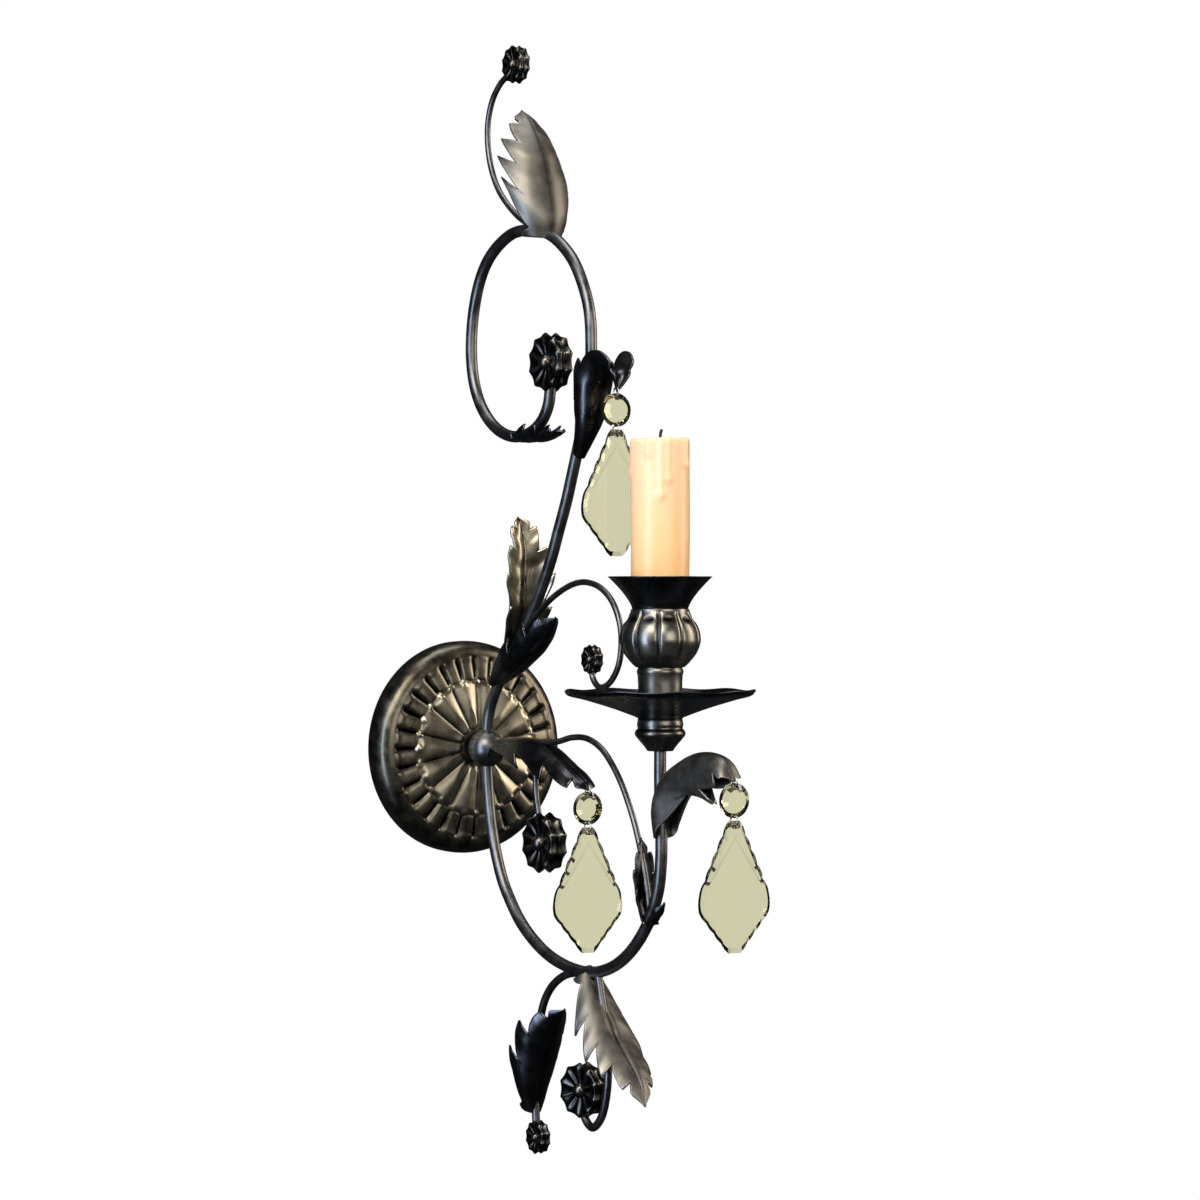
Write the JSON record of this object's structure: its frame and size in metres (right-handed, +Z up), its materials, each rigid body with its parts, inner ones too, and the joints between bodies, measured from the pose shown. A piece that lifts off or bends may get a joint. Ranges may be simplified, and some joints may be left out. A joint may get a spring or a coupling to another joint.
{
  "type": "wall sconce candle holder",
  "caption": "Scrolled round-bar wall sconce on a fluted plate: a candle cup over a drip pan, lobed leaves, rosettes and swinging crystal drops.",
  "frame": {"origin": "centre of the wall plate's back, on the wall face", "axes": "+Z up, +Y into the wall, the arm reaches out along -Y in the plane x = 0"},
  "size_m": [0.127, 0.2971, 0.6605],
  "materials": {
    "pressed_steel": "dark bronze lacquer over pressed steel, satin",
    "bronzed_bar": "dark bronze lacquer over round steel bar, satin",
    "bronzed_sheet": "dark bronze lacquer over hammered steel sheet, satin",
    "bronzed_casting": "dark bronze lacquer over castings, satin",
    "bronzed_cup": "dark bronze lacquer over spun and cast steel, satin",
    "zinc_steel": "zinc-plated steel",
    "plated_wire": "bright plated wire",
    "tinted_crystal": "khaki-tinted cut glass, polished",
    "wax": "ivory paraffin wax with run drips",
    "wick_cotton": "charred cotton wick"
  },
  "bodies": {
    "sconce": {"backplate": "pressed_steel", "wall_bracket": "zinc_steel", "hub_stud": "zinc_steel", "stud_nut": "zinc_steel", "ball_hub": "bronzed_bar", "upper_scroll": "bronzed_bar", "lower_scroll": "bronzed_bar", "top_tendril": "bronzed_bar", "upper_arch": "bronzed_bar", "lower_strut": "bronzed_bar", "hanging_stem": "bronzed_bar", "left_stem": "bronzed_bar", "right_stem": "bronzed_bar", "crown_leaf": "bronzed_sheet", "hook_leaf": "bronzed_sheet", "collar_leaf": "bronzed_sheet", "creased_leaf": "bronzed_sheet", "sleeve_leaf": "bronzed_sheet", "hub_leaf": "bronzed_sheet", "front_leaf": "bronzed_sheet", "joint_leaf": "bronzed_sheet", "joint_bract": "bronzed_sheet", "tail_leaf": "bronzed_sheet", "stem_leaf": "bronzed_sheet", "top_rosette": "bronzed_casting", "loop_rosette": "bronzed_casting", "hub_rosette": "bronzed_casting", "arch_rosette": "bronzed_casting", "left_rosette": "bronzed_casting", "right_rosette": "bronzed_casting", "top_rivet": "bronzed_casting", "loop_rivet": "bronzed_casting", "hub_rivet": "bronzed_casting", "arch_rivet": "bronzed_casting", "left_rivet": "bronzed_casting", "right_rivet": "bronzed_casting", "stem_collar": "bronzed_cup", "drip_pan": "bronzed_cup", "cup_neck": "bronzed_cup", "cup_bulb": "bronzed_cup", "cup_flare": "bronzed_cup", "cup_tube": "zinc_steel", "cup_nut": "zinc_steel", "candle_seat": "zinc_steel"},
    "candle_body": {"candle": "wax", "wick": "wick_cotton"},
    "upper_bead_body": {"upper_hook": "plated_wire", "upper_bead": "tinted_crystal"},
    "upper_crystal_body": {"upper_link": "plated_wire", "upper_crystal": "tinted_crystal"},
    "lower_bead_body": {"lower_hook": "plated_wire", "lower_bead": "tinted_crystal"},
    "lower_crystal_body": {"lower_link": "plated_wire", "lower_crystal": "tinted_crystal"},
    "front_bead_body": {"front_hook": "plated_wire", "front_bead": "tinted_crystal"},
    "front_crystal_body": {"front_link": "plated_wire", "front_crystal": "tinted_crystal"}
  },
  "joints": [
    {"name": "candle_lift", "type": "slide", "parent": "sconce", "child": "candle_body", "axis": [0, 0, 1], "range_m": [0, 0.04]},
    {"name": "upper_bead_swing", "type": "hinge", "parent": "sconce", "child": "upper_bead_body", "pos_m": [0, -0.1745, 0.212], "axis": [0, 1, 0], "range_deg": [-30, 30]},
    {"name": "upper_crystal_swing", "type": "hinge", "parent": "upper_bead_body", "child": "upper_crystal_body", "pos_m": [0, -0.1745, 0.1912], "axis": [0, 1, 0], "range_deg": [-25, 25]},
    {"name": "lower_bead_swing", "type": "hinge", "parent": "sconce", "child": "lower_bead_body", "pos_m": [0, -0.1443, -0.0186], "axis": [0, 1, 0], "range_deg": [-30, 30]},
    {"name": "lower_crystal_swing", "type": "hinge", "parent": "lower_bead_body", "child": "lower_crystal_body", "pos_m": [0, -0.1443, -0.0394], "axis": [0, 1, 0], "range_deg": [-25, 25]},
    {"name": "front_bead_swing", "type": "hinge", "parent": "sconce", "child": "front_bead_body", "pos_m": [0, -0.2933, -0.008], "axis": [0, 1, 0], "range_deg": [-30, 30]},
    {"name": "front_crystal_swing", "type": "hinge", "parent": "front_bead_body", "child": "front_crystal_body", "pos_m": [0, -0.2933, -0.0288], "axis": [0, 1, 0], "range_deg": [-25, 25]}
  ]
}
